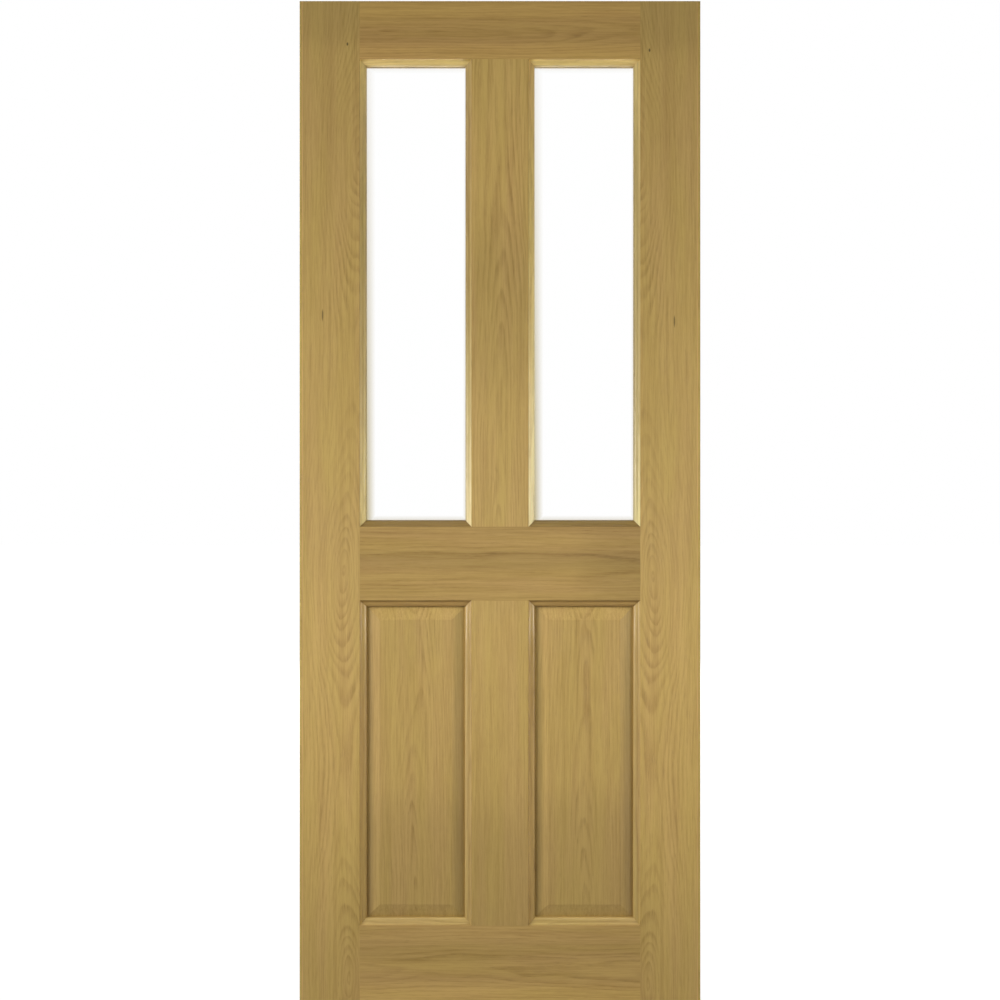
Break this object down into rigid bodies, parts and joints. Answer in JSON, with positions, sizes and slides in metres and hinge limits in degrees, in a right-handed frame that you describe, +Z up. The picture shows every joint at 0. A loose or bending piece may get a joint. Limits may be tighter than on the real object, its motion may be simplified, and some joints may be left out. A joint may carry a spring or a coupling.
{
  "type": "glazed panel door",
  "caption": "Oak-faced internal door leaf with tall clear glass lights over raised and fielded panels, beaded on both faces.",
  "frame": {"origin": "on the face of the hinge edge, the left long edge seen from the front, at the foot and at mid thickness", "axes": "+X across the leaf from the hinge edge to the lock edge, +Z up, the front faces -Y"},
  "size_m": [0.813, 0.035, 2.032],
  "materials": {
    "oak_upright": "satin lacquered oak, grain upright",
    "oak_rail": "satin lacquered oak, grain across",
    "oak_panel": "satin lacquered oak with cathedral figure",
    "oak_bead": "satin lacquered solid oak moulding",
    "oak_lipping": "satin lacquered solid oak strip",
    "clear_glass": "clear polished glass"
  },
  "bodies": {
    "root": {"bottom_rail": "oak_rail", "left_edge_lipping": "oak_lipping", "left_glass_front_bottom_bead": "oak_bead", "left_glass_front_left_bead": "oak_bead", "left_glass_front_right_bead": "oak_bead", "left_glass_front_top_bead": "oak_bead", "left_glass_pane": "clear_glass", "left_glass_rear_bottom_bead": "oak_bead", "left_glass_rear_left_bead": "oak_bead", "left_glass_rear_right_bead": "oak_bead", "left_glass_rear_top_bead": "oak_bead", "left_panel_front_bottom_bead": "oak_bead", "left_panel_front_left_bead": "oak_bead", "left_panel_front_right_bead": "oak_bead", "left_panel_front_top_bead": "oak_bead", "left_panel_rear_bottom_bead": "oak_bead", "left_panel_rear_left_bead": "oak_bead", "left_panel_rear_right_bead": "oak_bead", "left_panel_rear_top_bead": "oak_bead", "left_raised_panel": "oak_panel", "left_stile": "oak_upright", "lock_rail": "oak_rail", "lower_muntin": "oak_upright", "right_edge_lipping": "oak_lipping", "right_glass_front_bottom_bead": "oak_bead", "right_glass_front_left_bead": "oak_bead", "right_glass_front_right_bead": "oak_bead", "right_glass_front_top_bead": "oak_bead", "right_glass_pane": "clear_glass", "right_glass_rear_bottom_bead": "oak_bead", "right_glass_rear_left_bead": "oak_bead", "right_glass_rear_right_bead": "oak_bead", "right_glass_rear_top_bead": "oak_bead", "right_panel_front_bottom_bead": "oak_bead", "right_panel_front_left_bead": "oak_bead", "right_panel_front_right_bead": "oak_bead", "right_panel_front_top_bead": "oak_bead", "right_panel_rear_bottom_bead": "oak_bead", "right_panel_rear_left_bead": "oak_bead", "right_panel_rear_right_bead": "oak_bead", "right_panel_rear_top_bead": "oak_bead", "right_raised_panel": "oak_panel", "right_stile": "oak_upright", "top_rail": "oak_rail", "upper_muntin": "oak_upright"}
  },
  "joints": []
}
